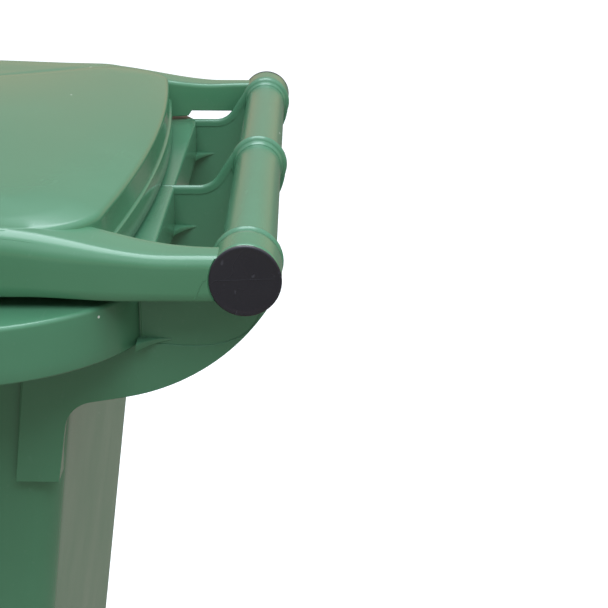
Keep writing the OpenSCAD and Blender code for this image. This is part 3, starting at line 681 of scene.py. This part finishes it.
def undersidePieces():
    out = []
    half, boss, bossOut = under["bracketHalf"], under["bossHalf"], under["bossOut"]
    for i, x in enumerate(under["brackets"]):
        corners = [(rearWall(axleZ) - 3, floorZ + 22), (axleY - 2, axleZ - 19), (axleY + 17, axleZ - 10),
                   (axleY + 17, axleZ + 9), (axleY + 4, axleZ + 45), (rearWall(axleZ + 92) - 3, axleZ + 92)]
        outline = roundCorners(corners, [0, 10, 12, 14, 20, 0], 6)
        out.append(plate(f"axleBracket{i}", outline, x - half, x + half, 1.0))
        outer = [[-boss, bossOut - 1], [1 - boss, bossOut], [boss - 1, bossOut], [boss, bossOut - 1]]
        profile = [[-boss, under["bossBore"]], *outer, [boss, under["bossBore"]]]
        out.append(lathe(f"axleBoss{i}", profile, (x, axleY, axleZ), 64, "loop"))
    start, end = rimFront + rim["frontRadius"], -rim["setback"] - rim["rearRadius"]
    low, wide, long = rimTop - rim["skirt"] + 3, under["footHalf"], under["footLong"]
    sides = ((-1, "L"), (1, "R"))
    for side, label in sides:
        middle = side * under["footMiddle"]
        for j, behind in enumerate(under["footAt"]):
            y = rimFront + behind
            corners = [(y, ground), (y + long, ground), (y + long, floorZ + 3), (y, floorZ + 3)]
            foot = roundCorners(corners, [4, 4, 0, 0], 5)
            out.append(plate(f"frontFoot{label}{j}", foot, middle - wide, middle + wide, 1.5))
    for side, label in sides:
        a, b = side * under["ribFrom"], side * under["ribTo"]
        section = np.array([[a, low - 14], [b, low], [b, rimTop - 2], [a, rimTop - 2]])
        for j, y in enumerate(np.linspace(start, end, 5)[1:4]):
            ends = [np.insert(section, 1, y + thick, axis=1) for thick in (0, under["ribThick"])]
            out.append(loft(f"rimRib{label}{j}", ends, "flat"))
    seat = [[rimTop - 14, 15.2], [rimTop - 14, 18], [rimTop - 3, 18], [rimTop - 3, 15.2]]
    out.append(latheUp("chipSeat", seat, (0, rimFront + under["seatAt"]), 64))
    return out


for obj in undersidePieces():
    finishPiece(obj, "bin", materials["body_green"], "body_green")
print("underside made")

# lid

lid = dict(
    side=255.5, front=fromHinge(lidFrontEdge, 1) + 10, frontRadius=66, shell=3.5, bottom=-8.5, rearBottom=-12,
    armTop=12.0, rise=13.2, riseFrom=-37, riseOver=98, slowRise=2.6, slowFrom=-130, slowOver=110,
    armBottom=-10.7, armWidth=22, flareClimb=0.21, stepFrom=-61, edge=6.2, edgeGrow=6.0, innerEdge=3.0,
    flareAt=(-150, -120, -95, -83, -76, -67, -59, -46, -38, -27, -17, 0),
    flareWide=(16, 30, 42, 41, 39.3, 37.4, 34.6, 30.6, 27.4, 24, 22.6, 22),
    armEnd=-12.0, eyeEnd=252.6, headGap=18.95, eye=(224.2, 252.4, 11.1, 18.3),
    rearMiddle=-66.0, rearBow=2.6e-4, domeSide=249.5, cornerFrom=204, cornerTo=-137,
    wallEdgeRear=22.5, wallEdgeSide=1.3, wallEdgeLeast=25.2, crown=40.5, ledge=4.0, ledgeOut=2.0,
    domeEdge=4.5, domeEdgeSide=10.0)


def railTop(y):  # the arm's height plus a steep S behind the dome and a slow S along it
    steep = smoothStep((lid["riseFrom"] - y) / lid["riseOver"])
    slow = smoothStep((lid["slowFrom"] - y) / lid["slowOver"])
    return lid["armTop"] + lid["rise"] * steep + lid["slowRise"] * slow


def railWidth(y):  # narrow at the eye, flaring into the rear of the lid
    return np.interp(y, lid["flareAt"], lid["flareWide"])


def lidRail():
    # a hollow strip from one eye round the front to the other: outer wall, rounded top and inner wall as one
    # closed section, set square to the path and fitted to the width and height there
    s, f, r = lid["side"], lid["front"], lid["frontRadius"]
    y = np.concatenate([np.linspace(lid["armEnd"], -150, 50), np.linspace(-170, f + r, 22)])
    side = np.column_stack([np.full(len(y), s), y])
    corner = arc((s - r, f + r), r, 0, -90, 22)[1:]
    front = line((s - r, f), (0, f), 12)
    path = np.vstack([side, corner, front, [[0, f]]])
    turn = np.radians(np.linspace(0, -90, 22)[1:])
    n = np.vstack([np.tile([-1.0, 0.0], (len(side), 1)), -np.stack([np.cos(turn), np.sin(turn)], 1),
                   np.tile([0.0, 1.0], (len(front) + 1, 1))])
    path = np.vstack([path, path[-2::-1] * [-1, 1]])
    n = np.vstack([n, n[-2::-1] * [-1, 1]])
    way = path[:, 1:]
    width, top, t = railWidth(way), railTop(way), lid["shell"]
    bottom = lid["bottom"] + (lid["armBottom"] - lid["bottom"]) * smoothStep((way + 110) / 50)
    # the inner wall's lower edge climbs as the arm flares, steps down behind the dome, then levels out
    flared = lid["armBottom"] + lid["flareClimb"] * np.maximum(width - lid["armWidth"], 0)
    inner = np.where(way > lid["stepFrom"], flared, lid["rearBottom"])
    inner = bottom + (inner - bottom) * smoothStep((way + 150) / 30)
    e = lid["edge"] + lid["edgeGrow"] * smoothStep((-50 - way) / 60)
    i, one = lid["innerEdge"], np.ones_like(top)
    a = np.radians(np.linspace(0, 90, 9))
    b = np.radians(np.linspace(0, 90, 6))
    across = np.hstack([0.8 * one, one * np.zeros(5), one * (e * (1 - np.cos(a[1:]))),
                        e + (width - i - e) * np.array([0.25, 0.5, 0.75]), width - i + i * np.sin(b),
                        width, width - 0.6, width - t, width - t, t * one, t * one])
    wall = bottom + 1 + (top - e - bottom - 1) * np.linspace(0, 1, 5)
    height = np.hstack([bottom, wall, top - e + e * np.sin(a[1:]), top * np.ones(3), top - i + i * np.cos(b),
                        inner + 0.6, inner, inner, top - t, top - t, bottom])
    rings = np.stack([path[:, :1] + n[:, :1] * across, way + n[:, 1:] * across, height], -1)
    return loft("lidRail", armEnds(rings), "flat", 40)


def armEnds(rings):
    # the outer skin of each arm stops on a circle round the pin's head, y = -sqrt(r^2 - z^2); the rest of it
    # runs on into the eye, and the change fades out along the arm
    x, y, z = rings[..., 0], rings[..., 1], rings[..., 2]
    skin = np.abs(x) > lid["eyeEnd"]
    circle = -np.sqrt(np.maximum(lid["headGap"] ** 2 - z ** 2, 0))
    fade = 1 - smoothStep((lid["armEnd"] - y) / 24)
    rings[..., 1] = np.where(skin & (y > -60), y + (circle - lid["armEnd"]) * fade, y)
    return rings


def halfDome(inset, push=0.0):
    # front straight and corner, side, a curved rear corner, and the rear edge bowed by k x^2; push moves the
    # rear edge
    s, f, r = lid["domeSide"] - inset, lid["front"] + 6 + inset, lid["frontRadius"] - 6 - inset
    rear = lid["rearMiddle"] - inset + push
    k = lid["rearBow"]
    x0, y1 = lid["cornerFrom"] - inset * 0.6, lid["cornerTo"] - inset * 0.6
    join = np.array([x0, rear - k * x0 * x0])
    corner = bezier((s, y1), (s - 0.5, y1 + 36), (x0 + 22, join[1] - 4.5), join, 30)
    x = np.linspace(x0, 0, 26)[1:]
    return np.vstack([
        [[0, f]], line((0, f), (s - r, f), 12), arc((s - r, f + r), r, -90, 0, 16),
        line((s, f + r), (s, y1), 26), corner, np.column_stack([x, rear - k * x * x])])


def lidDome():
    # from the pole under the crown: inner skin outwards and down, the skirt's lower edge, up the ledge and
    # the wall, over the rounded edge, and in along the dome; each point's height depends on how far it is
    # from the rear
    plan = mirrorRing(halfDome(0))
    rear = 1 - smoothStep((-plan[:, 1] - 84) / 46)
    deep = 1 - smoothStep((-plan[:, 1] - 92) / 20)
    side = np.maximum(railTop(plan[:, 1]) + lid["wallEdgeSide"], lid["wallEdgeLeast"])
    edge = side + (lid["wallEdgeRear"] - side) * rear
    foot = railTop(plan[:, 1]) - 2
    low = foot + (lid["rearBottom"] - foot) * deep
    ledge = foot + 0.4 + (lid["ledge"] - foot - 0.4) * deep
    out = lid["ledgeOut"]
    slope = 0.10 + 0.20 * rear
    fade = 60 - 26 * rear
    t = lid["shell"]

    def ring(inset, z, push=0.0):
        return np.column_stack([mirrorRing(halfDome(inset, push)), z])

    def domeTop(inset, drop=0.0):  # the edge's height plus a slope that dies away, blended into the crown
        return edge + slope * fade * (1 - np.exp(-max(inset - 1.5, 0) / fade)) - drop

    def fall(p):  # 1 - ((1 - x^2)(1 - y^2))^1.2: nothing in the middle, 1 along the sides of the square
        return 1 - ((1 - p[:, 0] ** 2) * (1 - p[:, 1] ** 2)) ** 1.2

    def inward(share, drop):  # further in, rings shrink to the middle while their height goes to the crown
        start = ring(42, domeTop(42, drop))
        middle = np.array([0, (lid["front"] + lid["rearMiddle"]) / 2])
        reach = start[:, :2] - middle
        p = reach / np.abs(reach).max(0)
        down = fall(p * share) + (1 - fall(p)) * share ** 6
        top = lid["crown"] - drop
        return np.column_stack([middle + reach * share, top - (top - start[:, 2]) * down])

    def drawn(depths, z):  # a ring whose inset differs from point to point
        near, far = mirrorRing(halfDome(0)), mirrorRing(halfDome(12))
        return np.column_stack([near + (far - near) * (depths / 12)[:, None], z])

    insets = (8, 12, 17, 23, 30, 36, 42)
    shares = (0.92, 0.82, 0.7, 0.55, 0.4, 0.25, 0.1)
    rings = [inward(s, t) for s in shares[::-1]]
    rings += [ring(d, domeTop(d, t)) for d in insets[:0:-1]]
    rings.append(ring(t + 4, edge - t))
    rings.append(ring(t + 0.8, edge - t - 3))
    rings.append(ring(t, np.minimum(edge - t - 3, np.maximum(ledge, low + 0.5))))
    rings.append(ring(t, ledge - 2))
    rings.append(ring(t, low, out))
    rings.append(ring(0.7, low, out))
    rings.append(ring(0, low + 0.7, out))
    rings += [ring(0, low + (ledge - 0.8 - low) * s, out) for s in (0.5, 1)]
    rings.append(ring(0.25, ledge - 0.2, out))
    rings.append(ring(0.8, ledge, out))
    rings.append(ring(-0.25, ledge + 0.1, 0))
    r = lid["domeEdge"] + (lid["domeEdgeSide"] - lid["domeEdge"]) * (1 - rear)
    rise = np.minimum(r, edge - ledge - 0.6)
    rings.append(ring(0, ledge + 0.5))
    rings.append(ring(0, edge - rise))
    for a in np.radians(np.linspace(12, 78, 7)):
        rings.append(drawn(r * (1 - math.cos(a)), edge - rise * (1 - math.sin(a))))
    rings += [ring(d, domeTop(d)) for d in insets[1:]]
    rings += [inward(s, 0) for s in shares]
    return loft("lidDome", rings, "pole", 50)


def lidEye(name, side):
    # the barrel round the hinge pin: a bored ring with rounded ends
    lo, hi, bore, r = lid["eye"]
    barrel = [[x, r] for x in np.linspace(lo + 6, hi - 4, 4)]
    profile = [[lo, bore], [lo, r - 1.3], [lo + 0.4, r - 0.4], [lo + 1.2, r], *barrel,
               [hi - 0.8, r], [hi - 0.2, r - 0.3], [hi, r - 0.9], [hi, bore]]
    return lathe(name, [[side * x, r] for x, r in profile], (0, 0, 0), 96, "loop")


def lidGrip(name, side):
    # a lip on the front edge, rounded outside and hollowed below for the fingers
    f = lid["front"]
    corners = [(f + 3, -8), (f - 9.5, -8), (f - 9.5, -3.5), (f - 7, 3.5), (f + 3, 5)]
    outline = roundCorners(corners, [0, 1.5, 2.5, 5, 0], 6)
    middle, half = side * 140, 55
    return plate(name, outline, middle - half, middle + half, 1.6)


def armCrease(name, side):
    # a hair-thin curved edge on the arm's outer face beside the pin's head, half round in section
    path = bezier((-19.6, 1.0), (-23.2, -1.0), (-22.6, -5.5), (-25.8, -9.5), 24)
    a = np.radians(np.linspace(0, 180, 7))
    across = 0.35 * np.cos(a)[:, None] * np.array([0.95, 0.3])
    out = side * (lid["side"] - 0.05 + 0.3 * np.sin(a))
    rings = np.stack([np.column_stack([out, middle + across]) for middle in path])
    return loft(name, rings, "flat", 60)


def lidSocket(name, side, y):
    # the round socket under the lid that holds a rubber buffer
    top, low = railTop(y) - 2.5, lid["bottom"] + 1.5
    profile = [[low, 4.6], [low, 7.9], [low + 0.5, 8.4], [top, 8.4], [top, 4.6]]
    return latheUp(name, profile, (side * 244.5, y))


lidPieces = [lidRail(), lidDome()]
for label, side in (("Left", -1), ("Right", 1)):
    lidPieces += [lidEye(f"lidEye{label}", side), lidGrip(f"lidGrip{label}", side)]
    lidPieces.append(armCrease(f"armCrease{label}", side))
    for i, y in enumerate((lid["front"] + 110, -230)):
        lidPieces.append(lidSocket(f"lidSocket{label}{i}", side, y))
for obj in lidPieces:
    finishPiece(obj, "lid", materials["lid_green"], "lid_green", *(("lid",) if obj.name == "lidDome" else ()))
print("lid made")

# hinge pins

pin = dict(head=252.7, headRadius=18.5, headThick=2.9, shank=10.9, reach=60)


def hingePin(name, side):
    # hollow shank with a snap bead, and a round head with a rolled rim and a slightly dished face
    x0, r, t, shankRadius = pin["head"], pin["headRadius"], pin["headThick"], pin["shank"]
    end = x0 - pin["reach"]
    a = np.radians(np.linspace(0, 90, 7))
    rimArc = np.column_stack([x0 + t - 1.1 + 1.1 * np.sin(a), r - 1.1 + 1.1 * np.cos(a)])
    top = x0 + t
    face = [[top - 0.05, r - 1.9], [top - 0.22, r - 2.6], [top - 0.3, r - 4], [top - 0.35, 9],
            [top - 0.32, 4], [top - 0.3, 0.2]]
    bead = [[end - 3.5, 8], [end - 4, 9.5], [end - 3, 11.2], [end - 1, 11.4], [end - 0.6, shankRadius]]
    shank = [[x0 - 1, 7], [end, 7], *bead, [x0, shankRadius], [x0, r - 0.9], [x0 + 0.4, r - 0.2]]
    profile = np.vstack([[[x0 - 1, 0.2]], shank, rimArc, face])
    return lathe(name, [[side * p[0], p[1]] for p in profile], (0, 0, 0), 128)


def mouldLine(name, side):
    # the parting line across the head: a hair-thin ridge, half round in section
    y = np.linspace(-16.5, 15.0, 40)
    a = np.radians(np.linspace(0, 180, 7))
    h = 0.22 * np.clip((16.5 - np.abs(y + 0.7)) / 2, 0.3, 1)
    z = 0.9 + 0.6 * np.sin(y / 14)
    rings = np.stack([np.stack([side * (255.25 + h * np.sin(k)), y, z + 0.16 * np.cos(k)], -1) for k in a], 1)
    return loft(name, rings, "flat", 60)


for label, side, node in (("Left", -1, "hinge_pin_left"), ("Right", 1, "hinge_pin_right")):
    finishPiece(hingePin(f"hingeCap{label}", side), "bin", materials["pin_black"], "pin_black", node)
    finishPiece(mouldLine(f"capLine{label}", side), "bin", materials["pin_black"], "pin_black")
print("hinge pins made")

# carried-over nodes

slots = {p["node"]: p["material_slot"] for p in frame["record"]["subparts"]}
for node, obj in frame["nodes"].items():
    if slots[node] in materials:
        obj.data.materials.clear()
        obj.data.materials.append(materials[slots[node]])

# stage, light, camera

stage = dict(floor=40.0, seen=(0.97, 0.97, 0.97), glow=(0.25, 0.25, 0.25), bounce=(0.24, 0.22, 0.175))


def rayMix(tree, seen, other):  # one colour for what the camera sees, another for what lights the object
    path = addNode(tree, "ShaderNodeLightPath")
    return mixColour(tree, path.outputs["Is Camera Ray"], other, seen)


def makeStage():
    size = stage["floor"]
    mesh = bpy.data.meshes.new("floor")
    corners = [(-size, -size, 0), (size, -size, 0), (size, size, 0), (-size, size, 0)]
    mesh.from_pydata(corners, [], [(0, 1, 2, 3)])
    floor = bpy.data.objects.new("floor", mesh)
    scene.collection.objects.link(floor)
    material = bpy.data.materials.new("floorPale")
    material.use_nodes = True
    shader = material.node_tree.nodes["Principled BSDF"]
    shader.inputs["Roughness"].default_value = 0.9
    shader.inputs["Specular IOR Level"].default_value = 0.0
    tree = material.node_tree
    tree.links.new(rayMix(tree, stage["seen"], stage["bounce"]), shader.inputs["Base Color"])
    tree.links.new(rayMix(tree, stage["glow"], (0.0, 0.0, 0.0)), shader.inputs["Emission Color"])
    shader.inputs["Emission Strength"].default_value = 1.0
    mesh.materials.append(material)


# colours of the sky by height, from straight down (0) through level (0.5) to straight up (1)
sky = dict(
    strength=2.2, seen=1.02,
    stops=((0.0, (0.16, 0.14, 0.11)), (0.35, (0.22, 0.19, 0.15)), (0.49, (0.44, 0.35, 0.25)),
           (0.53, (0.62, 0.47, 0.34)), (0.60, (0.46, 0.42, 0.35)), (0.66, (0.36, 0.42, 0.38)),
           (0.75, (0.56, 0.60, 0.62)), (0.86, (0.90, 0.98, 1.06)), (1.0, (1.30, 1.42, 1.56))))


def makeSky():  # bright above, warm at the horizon, darkest where the ground would be
    world = bpy.data.worlds.new("sky")
    scene.world = world
    world.use_nodes = True
    tree = world.node_tree
    coord = addNode(tree, "ShaderNodeTexCoord")
    parts = addNode(tree, "ShaderNodeSeparateXYZ")
    tree.links.new(coord.outputs["Generated"], parts.inputs[0])
    ramp = addNode(tree, "ShaderNodeValToRGB")
    stops, strength = sky["stops"], sky["strength"]
    while len(ramp.color_ramp.elements) < len(stops):
        ramp.color_ramp.elements.new(0.5)
    for element, (at, colour) in zip(ramp.color_ramp.elements, stops):
        element.position = at
        element.color = (*(value / strength for value in colour), 1)
    tree.links.new(mapRange(tree, parts.outputs["Z"], -1, 1), ramp.inputs[0])
    background = tree.nodes["Background"]
    seen = (sky["seen"] / strength,) * 3
    tree.links.new(rayMix(tree, seen, ramp.outputs[0]), background.inputs["Color"])
    background.inputs["Strength"].default_value = strength


# place, aim, width and depth, watts; the shine shows only in reflections, the others only light surfaces
lights = dict(
    shine=((-1.05, 0.25, 3.45), (-1.05, 0.26, 1.0), (2.7, 1.5), 56),
    key=((1.6, 0.5, 3.3), (0.2, 0.2, 1.0), (2.0, 2.0), 64),
    sideFill=((3.4, 0.6, 0.9), (0.2, 0.2, 0.9), (2.4, 1.6), 14),
    backFill=((-0.3, 2.2, 3.2), (0, 0.3, 1.0), (2.4, 2.0), 44))


def makeLights():
    for name, (spot, aim, size, power) in lights.items():
        light = bpy.data.lights.new(name, "AREA")
        light.shape, light.energy, light.color = "RECTANGLE", power, (0.92, 1.0, 1.10)
        light.size, light.size_y = size
        lamp = bpy.data.objects.new(name, light)
        scene.collection.objects.link(lamp)
        lamp.location = spot
        lamp.visible_glossy = name == "shine"
        lamp.visible_diffuse = name != "shine"
        lamp.rotation_euler = (Vector(aim) - Vector(spot)).to_track_quat("-Z", "Y").to_euler()


view = dict(lens=85.74, pitch=18.76, heading=0.27, roll=0.23, fromHinge=(0.9417, 0.0262, 0.2215))


def makeCamera():
    # looks along -X, pitched down, a little turned and rolled
    pitch, heading, roll = (math.radians(view[key]) for key in ("pitch", "heading", "roll"))
    level = math.cos(pitch)
    forward = Vector((-math.cos(heading) * level, math.sin(heading) * level, -math.sin(pitch)))
    right = forward.cross(Vector((0, 0, 1))).normalized()
    up = right.cross(forward)
    right, up = (math.cos(roll) * right + math.sin(roll) * up,
                 math.cos(roll) * up - math.sin(roll) * right)
    camera = bpy.data.objects.new("camera", bpy.data.cameras.new("camera"))
    scene.collection.objects.link(camera)
    camera.data.lens, camera.data.sensor_width = view["lens"], 36
    rows = Matrix((right, up, -forward)).transposed().to_4x4()
    camera.matrix_world = Matrix.Translation(Vector(hinge) + Vector(view["fromHinge"])) @ rows
    camera.data.clip_start, camera.data.clip_end = 0.01, 200
    scene.camera = camera


makeStage()
makeSky()
makeLights()
makeCamera()
scene.view_settings.view_transform = "Standard"
print("stage, light and camera set")
